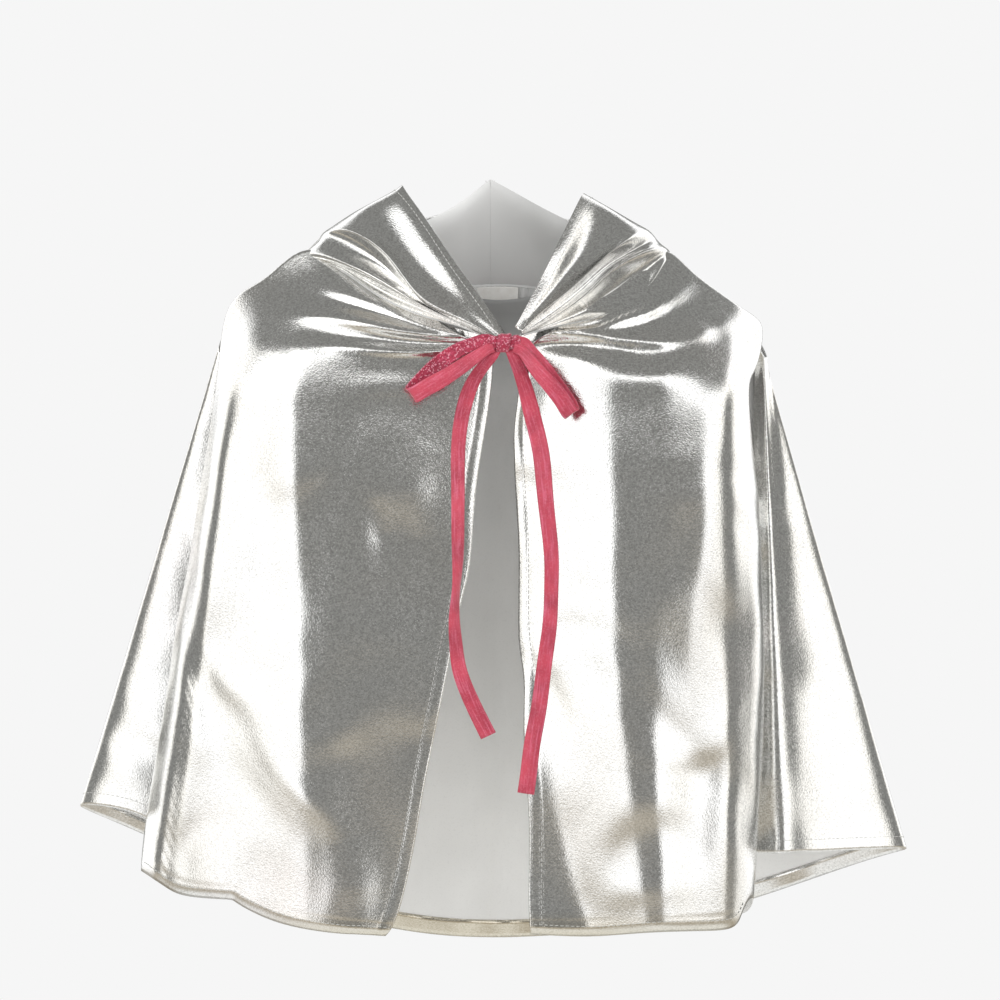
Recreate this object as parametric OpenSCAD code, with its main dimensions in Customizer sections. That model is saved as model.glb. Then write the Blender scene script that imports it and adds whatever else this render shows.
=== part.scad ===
// Child's short hooded cape in silver foil cloth, drawn in and tied at the neck with a ribbon bow.
// X runs across the cape, the front faces -Y, +Z is up, and the origin is the middle of the neck.

/* [Cloth] */
// Thickness of the foil cloth
cloth_t = 1; // [0.8:0.1:1.2]
// Thickness of a turned-in hem
hem_t = 0.8; // [0.6:0.1:0.9]
// Space between a panel and the hem stitched inside it
hem_gap = 0.5; // [0.4:0.1:0.8]
// Share of a front panel's width that its edge hem takes
edge_hem_share = 0.09; // [0.06:0.01:0.12]
// Share of a panel's height that its bottom hem takes
bottom_hem_share = 0.045; // [0.03:0.005:0.06]

/* [Neck] */
// Height of the neck band and of the ribbon channel inside it
band_h = 12; // [11:0.5:13]
// Thickness of the neck band
band_t = 0.8; // [0.6:0.1:0.9]
// Width of the blank label at the nape
label_w = 32; // [20:1:36]
// Height of the blank label
label_h = 10; // [8:0.5:11]

/* [Ribbon] */
// Width of the ribbon
ribbon_w = 10; // [9:0.5:11]
// Thickness of the ribbon
ribbon_t = 1; // [0.8:0.1:1.2]
// Width of the bow's knot
knot_w = 18; // [16:0.5:18.5]
// Height of the bow's knot
knot_h = 11.5; // [10:0.5:11.5]
// Depth of the bow's knot
knot_d = 10; // [8:0.5:10.5]

/* [Hidden] */

silver = [0.72, 0.72, 0.70];
silver_inside = [0.84, 0.84, 0.83];
pink = [0.80, 0.26, 0.36];
label_white = [0.90, 0.89, 0.87];

hem_offset = cloth_t / 2 + hem_gap + hem_t / 2;
seam_gap = 1.2;
hem_start = 0.03;
hem_corner = 0.945;
bottom_hem_reach = 0.97;
ridge_gap = 1.5;
hood_hem_share = 0.1;
hood_hem_start = 0.06;
hood_hem_end = 0.48;
casing_start = 0.01;
seam_start = 0.04;
seam_reach = 0.9;
channel_ribbon_t = 0.6;
nape_share_per_mm = 0.0031;
belly_fall = 1.6;
front_belly = 10;
front_turn = 4;
hood_belly = 4;
hood_turn = 2;
knot_side_share = 0.8;

// Facets of each surface, across and down
front_facets = [14, 16];
back_facets = [40, 22];
neck_facets = 32;
label_facets = 8;
hood_facets = [8, 16];
hood_back_facets = [6, 16];
bag_facets = [10, 16];
hood_hem_facets = 10;
loop_rings = 22;
tail_left_rings = 17;
tail_right_rings = 18;
ribbon_sides = 8;
path_step = 0.01;
knot_facets = 32;

// Front opening edges, from the neck band down to the hem
edge_left = [[-4, -57, -43], [-7, -58, -85], [-16, -61, -162], [-30, -63, -235], [-47, -62, -315], [-67, -60, -388]];
edge_right = [[13, -57, -43], [11, -58, -85], [13, -61, -162], [15, -63, -235], [19, -62, -315], [20, -60, -388]];

// Outer edges of the fronts, from the neck band over the shoulder and down the side seam
side_left = [[-47, -14, -28], [-123, -1, 15], [-171, 0, -31], [-184, -2, -140], [-201, -5, -248], [-217, -8, -350]];
side_right = [[51, -14, -28], [109, -1, 16], [163, 0, -31], [152, -2, -140], [151, -5, -248], [148, -8, -378]];

// Back panel's upper edge, from the left side seam round the nape to the right side seam
back_top = [
    [-171, 0, -32], [-174, 5, -36], [-140, 8, 0], [-72, 10, -6], [-38, 19, -17], [0, 35, -12],
    [42, 19, -17], [76, 10, -6], [118, 8, 6], [166, 5, -36], [164, 0, -34]
];
// Back panel's hem, from the left side seam round the back to the right side seam
back_hem = [
    [-213, -4, -312], [-250, 22, -309], [-205, 72, -332], [-132, 98, -362], [-66, 107, -382], [0, 110, -388],
    [80, 106, -382], [150, 94, -366], [214, 64, -346], [243, 20, -335], [170, -20, -336]
];
back_hollow = 9;
back_flare = 2.2;

// Middle line of the neck band, from the left of the knot round the nape to the right of it
neck_line = [
    [-7, -58, -34], [-34, -43, -27], [-47, -12, -17], [-38, 18, -9], [0, 34, -4],
    [42, 18, -9], [51, -12, -17], [38, -43, -27], [15, -58, -34]
];
neck_centre = [2, -12, 0];
ribbon_inset = 1.4;
casing_inset = 2.8;
label_inset = 4.4;

// Hood front edges, from the knot up to the shoulder and over it
hood_edge_left = [[-1, -58, -26], [-25, -36, 12], [-56, -7, 60], [-57, 4, 66], [-58, 14, 60]];
hood_edge_right = [[12, -58, -24], [33, -36, 19], [51, -7, 57], [52, 4, 63], [53, 14, 57]];
// Lower edges of the hood's sides, from the neck band out over the shoulder
hood_foot_left = [[-45, -18, -9], [-82, -15, 3], [-117, -8, 20], [-119, 2, 26], [-120, 10, 20]];
hood_foot_right = [[49, -18, -9], [77, -15, 6], [102, -8, 23], [104, 2, 29], [105, 10, 23]];

// Standing back of the hood, from the neck band up to the roll: middle line and outer edges
hood_back_mid = [[0, 34, 3], [0, 27, 35], [0, 19, 63], [0, 25, 69], [0, 31, 63]];
hood_back_left_edge = [[-41, 16, 0], [-45, 12, 20], [-47, 10, 34], [-48, 14, 41], [-48, 20, 36]];
hood_back_right_edge = [[44, 16, 0], [45, 12, 20], [46, 10, 34], [47, 14, 41], [47, 20, 36]];

// Bag of the hood hanging behind: middle line and outer edges, from the roll down
bag_mid = [[0, 34, 60], [0, 45, 20], [0, 52, -40], [0, 54, -90], [0, 49, -121], [0, 43, -128]];
bag_left_edge = [[-119, 15, 12], [-115, 26, -20], [-104, 35, -56], [-82, 42, -88], [-50, 44, -112], [-28, 42, -121]];
bag_right_edge = [[105, 15, 15], [103, 26, -18], [95, 35, -56], [76, 42, -88], [48, 44, -112], [28, 42, -121]];
centre_gap = 0.6;
seam_ridge_w = 6;

// Bow
knot_centre = [4, -62, -33];
tail_left_path = [
    [-3, -64, -41], [-9, -63, -48], [-16, -63, -60], [-21, -64, -78], [-23, -67, -98], [-23, -72, -120],
    [-23, -77, -140], [-23, -80, -162], [-24, -81, -180], [-25, -81, -196], [-24, -80, -212],
    [-22, -79, -226], [-17, -78, -240], [-11, -77, -253], [-5, -76, -265]
];
tail_right_path = [
    [10, -64, -41], [14, -63, -51], [18, -63, -64], [22, -64, -80], [26, -68, -98], [28, -74, -118],
    [30, -78, -138], [32, -80, -158], [32, -81, -178], [31, -81, -200], [28, -81, -222],
    [25, -80, -246], [21, -79, -268], [19, -78, -284], [17, -77, -299]
];
loop_left_path = [
    [-6, -66, -37], [-12, -69, -41], [-22, -73, -48], [-33, -75, -55], [-42, -75, -60], [-47, -74, -63],
    [-50, -72, -64], [-50, -70, -62], [-46, -69, -57], [-36, -69, -47], [-24, -68, -38], [-13, -66, -33],
    [-7, -65, -31]
];
loop_right_path = [
    [15, -66, -38], [19, -69, -43], [25, -73, -51], [33, -75, -60], [39, -75, -68], [42, -74, -73],
    [44, -72, -75], [44, -70, -73], [41, -69, -67], [34, -69, -57], [27, -68, -47], [20, -66, -38],
    [16, -65, -32]
];
tail_across = [1, 0, 0];
loop_left_across = [0.56, 0, -0.83];
loop_right_across = [0.80, 0, 0.60];

function mix(a, b, t) = a * (1 - t) + b * t;

function unit(v) = v / norm(v);

// Point at share t of the smooth curve through a list of points
function along(points, t) =
    let (
        last = len(points) - 1,
        s = min(t * last, last - 0.0001),
        i = floor(s),
        f = s - i,
        a = points[max(i - 1, 0)],
        b = points[i],
        c = points[i + 1],
        d = points[min(i + 2, last)]
    )
    (2 * b + (c - a) * f + (2 * a - 5 * b + 4 * c - d) * f * f + (3 * b - a - 3 * c + d) * f * f * f) / 2;

// Surface between an inner and an outer line: u runs across, v down, and belly pushes its middle out
function panel_point(inner, outer, belly, turn, u, v) =
    let (a = along(inner, v), b = along(outer, v), p = mix(a, b, u))
    [p.x, mix(a.y, b.y, pow(u, turn)) - belly * sin(180 * u) * sin(90 * min(1, belly_fall * v)), p.z];

function back_point(u, v) =
    let (a = along(back_top, u), b = along(back_hem, u), p = mix(a, b, v))
    [p.x, seam_gap + mix(a.y, b.y, pow(v, back_flare)) - back_hollow * sin(180 * v) * sin(180 * u), p.z];

function grid(f, u0, u1, v0, v1, nu, nv) =
    [for (j = [0:nv]) [for (i = [0:nu]) f(mix(u0, u1, i / nu), mix(v0, v1, j / nv))]];

// Outward direction of a grid at one of its points
function facing(g, j, i) =
    let (
        nv = len(g) - 1,
        nu = len(g[0]) - 1,
        across = g[j][min(i + 1, nu)] - g[j][max(i - 1, 0)],
        down = g[min(j + 1, nv)][i] - g[max(j - 1, 0)][i]
    )
    unit(cross(across, down));

// Grid moved along its outward direction
function shifted(g, d) = [for (j = [0:len(g) - 1]) [for (i = [0:len(g[0]) - 1]) g[j][i] + facing(g, j, i) * d]];

function quad(a, b, c, d) = [[a, b, c], [a, c, d]];

// Closed sheet of thickness t on a grid
module sheet(g, t) {
    rows = len(g);
    cols = len(g[0]);
    size = rows * cols;
    outer = [for (row = shifted(g, t / 2)) for (p = row) p];
    inner = [for (row = shifted(g, -t / 2)) for (p = row) p];
    faces = [
        for (j = [0:rows - 2]) for (i = [0:cols - 2])
            for (face = concat(
                quad(j * cols + i, j * cols + cols + i, j * cols + cols + i + 1, j * cols + i + 1),
                quad(size + j * cols + i, size + j * cols + i + 1,
                    size + j * cols + cols + i + 1, size + j * cols + cols + i)
            )) face,
        for (j = [0:rows - 2])
            for (face = concat(
                quad(j * cols, size + j * cols, size + j * cols + cols, j * cols + cols),
                quad(j * cols + cols - 1, j * cols + 2 * cols - 1,
                    size + j * cols + 2 * cols - 1, size + j * cols + cols - 1)
            )) face,
        for (i = [0:cols - 2])
            for (face = concat(
                quad(i, i + 1, size + i + 1, size + i),
                quad(size - cols + i, 2 * size - cols + i, 2 * size - cols + i + 1, size - cols + i + 1)
            )) face
    ];
    polyhedron(concat(outer, inner), faces, convexity = 6);
}

// Flat ribbon of eight-sided section swept along a path, its width lying along "across"
module ribbon(path, across, rings) {
    sides = ribbon_sides;
    corner = 180 / sides;
    profile = [for (k = [0:sides - 1]) [cos(corner * (2 * k + 1)), sin(corner * (2 * k + 1))] / cos(corner)];
    points = [
        for (r = [0:rings])
            let (
                t = r / rings,
                p = along(path, t),
                run = unit(along(path, min(1, t + path_step)) - along(path, max(0, t - path_step))),
                wide = unit(across - run * (across * run)),
                thick = cross(run, wide)
            )
            for (q = profile) p + wide * q.x * ribbon_w / 2 + thick * q.y * ribbon_t / 2
    ];
    skin = [
        for (r = [0:rings - 1]) for (k = [0:sides - 1])
            for (face = quad(r * sides + k, r * sides + sides + k,
                r * sides + sides + (k + 1) % sides, r * sides + (k + 1) % sides)) face
    ];
    caps = [[for (k = [0:sides - 1]) k], [for (k = [0:sides - 1]) rings * sides + sides - 1 - k]];
    polyhedron(points, concat(skin, caps), convexity = 6);
}

left_front = function (u, v) panel_point(edge_left, side_left, front_belly, front_turn, u, v);
right_front = function (u, v) panel_point(edge_right, side_right, front_belly, front_turn, u, v);
back = function (u, v) back_point(u, v);
hood_left = function (u, v) panel_point(hood_edge_left, hood_foot_left, hood_belly, hood_turn, u, v);
hood_right = function (u, v) panel_point(hood_edge_right, hood_foot_right, hood_belly, hood_turn, u, v);

// Half of a piece that meets its mirror half at the centre seam
function half(mid, edge, side) =
    function (u, v) let (p = mix(along(mid, v), along(edge, v), u)) [p.x + side * centre_gap, p.y, p.z];

// Strip round the neck, set in from the neck band
function neck_strip(height, inset) =
    function (u, v)
        let (p = along(neck_line, u), way = unit([neck_centre.x - p.x, neck_centre.y - p.y, 0]))
        [p.x + way.x * inset, p.y + way.y * inset, p.z + height * (0.5 - v)];

module front_panel_left() {
    color(silver) sheet(grid(left_front, 0, 1, 0, 1, front_facets.x, front_facets.y), cloth_t);
}

module front_panel_right() {
    color(silver) sheet(grid(right_front, 0, 1, 0, 1, front_facets.x, front_facets.y), cloth_t);
}

module back_panel() {
    color(silver) sheet(grid(back, 0, 1, 0, 1, back_facets.x, back_facets.y), cloth_t);
}

// Hem turned to the inside of a panel along part of its grid
module hem(surface, u0, u1, v0, v1, nu, nv, inward) {
    color(silver_inside) sheet(shifted(grid(surface, u0, u1, v0, v1, nu, nv), inward * hem_offset), hem_t);
}

module front_edge_hem_left() {
    hem(left_front, 0, edge_hem_share, hem_start, hem_corner, 1, front_facets.y, -1);
}

module front_edge_hem_right() {
    hem(right_front, 0, edge_hem_share, hem_start, hem_corner, 1, front_facets.y, 1);
}

module bottom_hem_left() {
    hem(left_front, 0, bottom_hem_reach, 1 - bottom_hem_share, 1, front_facets.x, 1, -1);
}

module bottom_hem_right() {
    hem(right_front, 0, bottom_hem_reach, 1 - bottom_hem_share, 1, front_facets.x, 1, 1);
}

module bottom_hem_back() {
    facet = 1 / back_facets.x;
    hem(back, facet, 1 - facet, 1 - bottom_hem_share, 1, back_facets.x - 2, 1, -1);
}

module neck_band() {
    color(silver) sheet(grid(neck_strip(band_h, 0), 0, 1, 0, 1, neck_facets, 1), band_t);
}

module neck_casing() {
    strip = neck_strip(band_h, casing_inset);
    color(silver_inside) sheet(grid(strip, casing_start, 1 - casing_start, 0, 1, neck_facets, 1), band_t);
}

module neck_ribbon() {
    color(pink) sheet(grid(neck_strip(ribbon_w, ribbon_inset), 0, 1, 0, 1, neck_facets, 1), channel_ribbon_t);
}

module neck_label() {
    reach = label_w / 2 * nape_share_per_mm;
    strip = neck_strip(label_h, label_inset);
    color(label_white) sheet(grid(strip, 0.5 - reach, 0.5 + reach, 0, 1, label_facets, 1), band_t);
}

module hood_side_left() {
    color(silver) sheet(grid(hood_left, 0, 1, 0, 1, hood_facets.x, hood_facets.y), cloth_t);
}

module hood_side_right() {
    color(silver) sheet(grid(hood_right, 0, 1, 0, 1, hood_facets.x, hood_facets.y), cloth_t);
}

module hood_back_left() {
    back_half = half(hood_back_mid, hood_back_left_edge, -1);
    color(silver) sheet(grid(back_half, 0, 1, 0, 1, hood_back_facets.x, hood_back_facets.y), cloth_t);
}

module hood_back_right() {
    back_half = half(hood_back_mid, hood_back_right_edge, 1);
    color(silver) sheet(grid(back_half, 0, 1, 0, 1, hood_back_facets.x, hood_back_facets.y), cloth_t);
}

module hood_edge_hem_left() {
    hem(hood_left, 0, hood_hem_share, hood_hem_start, hood_hem_end, 1, hood_hem_facets, 1);
}

module hood_edge_hem_right() {
    hem(hood_right, 0, hood_hem_share, hood_hem_start, hood_hem_end, 1, hood_hem_facets, -1);
}

module hood_bag_left() {
    bag_half = half(bag_mid, bag_left_edge, -1);
    color(silver) sheet(grid(bag_half, 0, 1, 0, 1, bag_facets.x, bag_facets.y), cloth_t);
}

module hood_bag_right() {
    bag_half = half(bag_mid, bag_right_edge, 1);
    color(silver) sheet(grid(bag_half, 0, 1, 0, 1, bag_facets.x, bag_facets.y), cloth_t);
}

// Seam allowance pressed open inside the bag, behind the line where its halves meet
module hood_centre_seam() {
    allowance = function (u, v)
        let (p = along(bag_mid, seam_start + seam_reach * v))
        [seam_ridge_w * (u - 0.5), p.y - hem_offset - ridge_gap, p.z];
    color(silver_inside) sheet(grid(allowance, 0, 1, 0, 1, 2, bag_facets.y), hem_t);
}

module bow_knot() {
    side_d = knot_d * knot_side_share;
    color(pink) hull() {
        for (side = [-1, 1])
            translate(knot_centre + [side * (knot_w - knot_d) / 2, 0, 0]) sphere(d = knot_d, $fn = knot_facets);
        for (side = [-1, 1])
            translate(knot_centre + [0, 0, side * (knot_h - side_d) / 2]) sphere(d = side_d, $fn = knot_facets);
    }
}

module bow_loop_left() {
    color(pink) ribbon(loop_left_path, loop_left_across, loop_rings);
}

module bow_loop_right() {
    color(pink) ribbon(loop_right_path, loop_right_across, loop_rings);
}

module ribbon_tail_left() {
    color(pink) ribbon(tail_left_path, tail_across, tail_left_rings);
}

module ribbon_tail_right() {
    color(pink) ribbon(tail_right_path, tail_across, tail_right_rings);
}

front_panel_left();
front_panel_right();
back_panel();
front_edge_hem_left();
front_edge_hem_right();
bottom_hem_left();
bottom_hem_right();
bottom_hem_back();
neck_band();
neck_casing();
neck_ribbon();
neck_label();
hood_side_left();
hood_side_right();
hood_back_left();
hood_back_right();
hood_edge_hem_left();
hood_edge_hem_right();
hood_bag_left();
hood_bag_right();
hood_centre_seam();
bow_knot();
bow_loop_left();
bow_loop_right();
ribbon_tail_left();
ribbon_tail_right();
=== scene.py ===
import math

import bmesh
import bpy
import numpy as np
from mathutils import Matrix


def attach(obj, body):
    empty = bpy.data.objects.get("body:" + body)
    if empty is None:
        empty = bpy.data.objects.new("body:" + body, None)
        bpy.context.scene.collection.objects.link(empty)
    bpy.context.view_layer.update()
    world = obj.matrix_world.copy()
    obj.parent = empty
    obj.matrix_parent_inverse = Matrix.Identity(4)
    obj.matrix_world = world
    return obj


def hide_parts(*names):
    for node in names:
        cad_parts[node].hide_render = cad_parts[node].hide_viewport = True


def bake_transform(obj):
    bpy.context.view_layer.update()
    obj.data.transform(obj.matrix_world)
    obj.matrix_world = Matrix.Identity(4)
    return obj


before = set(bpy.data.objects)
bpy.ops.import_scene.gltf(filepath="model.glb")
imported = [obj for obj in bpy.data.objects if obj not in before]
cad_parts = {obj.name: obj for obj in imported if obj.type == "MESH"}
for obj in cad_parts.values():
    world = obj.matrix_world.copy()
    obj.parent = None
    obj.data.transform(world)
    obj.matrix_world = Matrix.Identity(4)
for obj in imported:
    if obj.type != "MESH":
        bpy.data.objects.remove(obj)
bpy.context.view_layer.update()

MM = 0.001
CLOTH = 0.00045
# Outlines are drawn in a plane at this depth, as seen from the camera at EYE.
DRAWN_AT = -0.03
EYE = np.array([0.0018, -2.63, -0.126])


# ---------- drawing and bending ----------
#
# Points listed below are in millimetres. x runs to the right, y away from the camera, z up.


def mm(points):
    """Points given in millimetres, as an array in metres."""
    return np.asarray(points, float) * MM


def carried(points):
    """Points drawn in millimetres as the front shows them, moved along the sight line to their own depth."""
    p = mm(points)
    share = (p[..., 1:2] - EYE[1]) / (DRAWN_AT - EYE[1])
    out = EYE + (p - EYE) * share
    out[..., 1] = p[..., 1]
    return out


def spline(values, at):
    """A natural cubic through values, one to a unit step, read at the numbers in at."""
    v = np.asarray(values, float)
    n = len(v)
    at = np.asarray(at, float)
    flat = v.reshape(n, -1)
    if n < 3:
        curve = np.zeros_like(flat)
    else:
        system = np.eye(n)
        target = np.zeros_like(flat)
        for i in range(1, n - 1):
            system[i, i - 1 : i + 2] = (1, 4, 1)
            target[i] = 6 * (flat[i - 1] - 2 * flat[i] + flat[i + 1])
        curve = np.linalg.solve(system, target)
    i = np.clip(np.floor(at).astype(int), 0, n - 2)
    t = (at - i)[:, None]
    s = 1 - t
    out = s * flat[i] + t * flat[i + 1]
    out += ((s**3 - s) * curve[i] + (t**3 - t) * curve[i + 1]) / 6
    return out.reshape((len(at),) + v.shape[1:])


def curve_through(points, count):
    """Evenly spaced points on a smooth line through the given ones."""
    p = np.asarray(points, float)
    fine = spline(p, np.linspace(0, len(p) - 1, 40 * len(p)))
    steps = np.linalg.norm(np.diff(fine, axis=0), axis=1)
    run = np.concatenate([[0], np.cumsum(steps)])
    want = np.linspace(0, run[-1], count)
    return np.stack([np.interp(want, run, fine[:, k]) for k in range(p.shape[1])], 1)


def loft(lines, across, along):
    """A smooth grid through lines that all have the same number of points."""
    p = np.asarray(lines, float)
    p = spline(p, np.linspace(0, len(p) - 1, across))
    p = np.swapaxes(p, 0, 1)
    return spline(p, np.linspace(0, len(p) - 1, along))


def spread(values, share):
    """Values set evenly from 0 to 1, read at share."""
    return np.interp(share, np.linspace(0, 1, len(values)), values)


def smooth(t):
    """0 to 1 with level ends."""
    t = np.clip(t, 0, 1)
    return t * t * (3 - 2 * t)


def normals_of(grid):
    """The unit normal at each point of a grid."""
    du = np.gradient(grid, axis=1)
    dv = np.gradient(grid, axis=0)
    n = np.cross(du, dv)
    return n / np.maximum(np.linalg.norm(n, axis=2, keepdims=True), 1e-12)


def facing(grid, way):
    """The grid's unit normals, turned so that they point mostly along way."""
    n = normals_of(grid)
    return n if (n * np.asarray(way, float)).sum() > 0 else -n


def nearest_on(line, x, z):
    """For each point: its distance from the line, the share of the line there, and the side it is on."""
    d2 = (x[..., None] - line[:, 0]) ** 2 + (z[..., None] - line[:, 1]) ** 2
    k = d2.argmin(axis=-1)
    tangent = np.gradient(line, axis=0)
    dx, dz = x - line[k, 0], z - line[k, 1]
    side = np.sign(tangent[k, 0] * dz - tangent[k, 1] * dx)
    return np.sqrt(np.take_along_axis(d2, k[..., None], -1)[..., 0]), k / (len(line) - 1), side


FOLD_POINTS = 90


def creased(grid, folds, way):
    """Raises a fold along each line drawn in x and z.

    A fold is (line, heights, widths,
               lean); lean is the width of its far side as a share of its near side's.
    """
    x, z = grid[..., 0].copy(), grid[..., 2].copy()
    lift = np.zeros(x.shape)
    for points, heights, widths, lean in folds:
        line = curve_through(mm(points), FOLD_POINTS)
        distance, share, side = nearest_on(line, x, z)
        height = spread(heights, share) * MM
        width = spread(widths, share) * MM
        width = np.where(side > 0, width, width * lean)
        lift += height * np.exp(-((distance / width) ** 2))
    return grid + lift[..., None] * way


def blurred(image, sigma, axis):
    """The image softened along one axis by a Gaussian of sigma cells."""
    reach = int(3 * sigma) + 1
    weight = np.exp(-0.5 * (np.arange(-reach, reach + 1) / sigma) ** 2)
    weight /= weight.sum()
    image = np.moveaxis(image, axis, 0)
    before = 2 * image[:1] - image[reach:0:-1]
    after = 2 * image[-1:] - image[-2 : -reach - 2 : -1]
    wide = np.concatenate([before, image, after])
    out = sum(w * wide[k : k + len(image)] for k, w in enumerate(weight))
    return np.moveaxis(out, 0, axis)


def depth_field(rows, soft_across=4.0, soft_along=9.0):
    """A function of x and z that gives y, from rows of (x, y) knots at each height.

    Between the knots lie flat facets, and the bends between them are softened. Knots and softness are in mm.
    """
    cell = 1.5
    margin = 12
    heights = np.array([z for z, _ in rows], float)
    knots = np.array([line for _, line in rows], float)
    order = np.argsort(heights)
    zs = np.arange(heights.min(), heights.max() + 1, cell)
    xs = np.arange(knots[..., 0].min() - margin, knots[..., 0].max() + margin, 1.0)
    image = np.zeros((len(zs), len(xs)))
    for i, z in enumerate(zs):
        at = [[np.interp(z, heights[order], line[order, c]) for c in (0, 1)] for line in np.swapaxes(knots,
                                                                                                     0, 1)]
        at = np.array(sorted(at))
        first, last = at[0], at[-1]
        first_slope = (at[1, 1] - first[1]) / (at[1, 0] - first[0])
        last_slope = (last[1] - at[-2, 1]) / (last[0] - at[-2, 0])
        image[i] = np.interp(xs, at[:, 0], at[:, 1])
        image[i] += np.where(xs < first[0], (xs - first[0]) * first_slope, 0)
        image[i] += np.where(xs > last[0], (xs - last[0]) * last_slope, 0)
    image = blurred(blurred(image, soft_across, 1), soft_along / cell, 0)

    def depth(x, z):
        cx = np.clip(x / MM - xs[0], 0, len(xs) - 1.001)
        cz = np.clip((z / MM - zs[0]) / cell, 0, len(zs) - 1.001)
        i, j = cz.astype(int), cx.astype(int)
        tz, tx = cz - i, cx - j
        low = image[i, j] * (1 - tx) + image[i, j + 1] * tx
        high = image[i + 1, j] * (1 - tx) + image[i + 1, j + 1] * tx
        return (low * (1 - tz) + high * tz) * MM

    return depth


def patch(top, bottom, first, last, across, along):
    """A grid in x and z between four edges: first and last run down the sides, top and bottom across."""
    a, b = curve_through(first, along), curve_through(last, along)
    t, h = curve_through(top, across), curve_through(bottom, across)
    u = np.linspace(0, 1, across)[None, :, None]
    v = np.linspace(0, 1, along)[:, None, None]
    sides = (1 - u) * a[:, None] + u * b[:, None]
    ends = (1 - v) * t[None] + v * h[None]
    corners = (1 - v) * ((1 - u) * t[0] + u * t[-1]) + v * ((1 - u) * h[0] + u * h[-1])
    return sides + ends - corners


# ---------- making pieces ----------


def placed(name, data):
    """A new object in the scene."""
    thing = bpy.data.objects.new(name, data)
    bpy.context.scene.collection.objects.link(thing)
    return thing


def new_piece(name, verts, faces, materials, uvs=None, which=None, sharp=None):
    """A mesh object. which gives each face's material, sharp the faces that are shaded flat."""
    mesh = bpy.data.meshes.new(name)
    mesh.from_pydata(np.asarray(verts).tolist(), [], np.asarray(faces).tolist())
    for material in materials:
        mesh.materials.append(material)
    if which is not None:
        mesh.polygons.foreach_set("material_index", np.asarray(which, np.int32))
    flags = np.ones(len(mesh.polygons), bool)
    if sharp is not None:
        flags[np.asarray(sharp, bool)] = False
    mesh.polygons.foreach_set("use_smooth", flags)
    if uvs is not None:
        layer = mesh.uv_layers.new(name="cloth")
        corner = np.zeros(len(mesh.loops), np.int32)
        mesh.loops.foreach_get("vertex_index", corner)
        layer.data.foreach_set("uv", np.asarray(uvs, np.float32)[corner].ravel())
    mesh.update()
    return placed(name, mesh)


def cloth(name, grid, way, outside, inside, thick=CLOTH):
    """A closed piece of cloth: grid is its outside, way is roughly where that faces."""
    rows, cols = grid.shape[:2]
    n = normals_of(grid)
    if (n * np.asarray(way, float)).sum() < 0:
        grid = grid[:, ::-1]
        n = normals_of(grid)
    verts = np.concatenate([grid.reshape(-1, 3), (grid - n * thick).reshape(-1, 3)])
    k = np.arange(rows * cols).reshape(rows, cols)
    quads = np.stack([k[:-1, :-1], k[:-1, 1:], k[1:, 1:], k[1:, :-1]], -1).reshape(-1, 4)
    below = quads[:, ::-1] + rows * cols
    ring = np.concatenate([k[0, :-1], k[:-1, -1], k[-1, :0:-1], k[:0:-1, 0]])
    after = np.roll(ring, -1)
    rim = np.stack([after, ring, ring + rows * cols, after + rows * cols], -1)
    faces = np.concatenate([quads, below, rim])
    which = np.repeat([0, 1, 1], [len(quads), len(below), len(rim)])
    sharp = np.repeat([0, 0, 1], [len(quads), len(below), len(rim)])
    wide = np.linalg.norm(np.diff(grid, axis=1), axis=2)
    wide = np.concatenate([np.zeros((rows, 1)), np.cumsum(wide, 1)], 1)
    tall = np.linalg.norm(np.diff(grid, axis=0), axis=2)
    tall = np.concatenate([np.zeros((1, cols)), np.cumsum(tall, 0)], 0)
    uv = np.stack([wide, tall], -1).reshape(-1, 2)
    return new_piece(name, verts, faces, [outside, inside], np.concatenate([uv, uv]), which, sharp)


def strip(name, centre, across, materials, thick, curl=0.0, columns=9, way=(0, -1, 0)):
    """A flat band along centre. across is half its width as vectors, curl bows it, its start faces way."""
    tangent = np.gradient(centre, axis=0)
    normal = np.cross(tangent, across)
    normal /= np.linalg.norm(normal, axis=1, keepdims=True)
    if normal[len(centre) // 4] @ np.asarray(way, float) < 0:
        normal = -normal
    s = np.linspace(-1, 1, columns)
    grid = centre[:, None] + across[:, None] * s[None, :, None]
    bow = np.broadcast_to(np.asarray(curl, float), (len(centre),))[:, None] * (1 - s**2)[None]
    grid = grid + normal[:, None] * bow[..., None]
    return cloth(name, grid, normal[:, None], materials[0], materials[-1], thick)


def clean(piece):
    """Closes poles and turns all faces outwards."""
    shape = bmesh.new()
    shape.from_mesh(piece.data)
    bmesh.ops.remove_doubles(shape, verts=shape.verts, dist=1e-6)
    bmesh.ops.holes_fill(shape, edges=shape.edges, sides=0)
    bmesh.ops.recalc_face_normals(shape, faces=shape.faces)
    shape.to_mesh(piece.data)
    shape.free()


def closed_ring(name, grid, materials):
    """A piece closed both ways round, such as a band round a knot."""
    rows, cols = grid.shape[:2]
    k = np.arange(rows * cols).reshape(rows, cols)
    down, right = np.roll(k, -1, 0), np.roll(k, -1, 1)
    faces = np.stack([k, right, np.roll(right, -1, 0), down], -1).reshape(-1, 4)
    middle = grid.mean(1, keepdims=True)
    du = np.roll(grid, -1, 1) - grid
    dv = np.roll(grid, -1, 0) - grid
    if (np.cross(du, dv) * (grid - middle)).sum() < 0:
        faces = faces[:, ::-1]
    around = np.linspace(0, 0.03, rows)[:, None] + np.zeros((1, cols))
    wide = np.linspace(0, 0.02, cols)[None] + np.zeros((rows, 1))
    return new_piece(name, grid.reshape(-1, 3), faces, materials,
                     np.stack([wide, around], -1).reshape(-1, 2))


def given(piece, body, node):
    """Hands a piece to its body, in place of its solid."""
    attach(piece, body)
    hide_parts(node)


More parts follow.
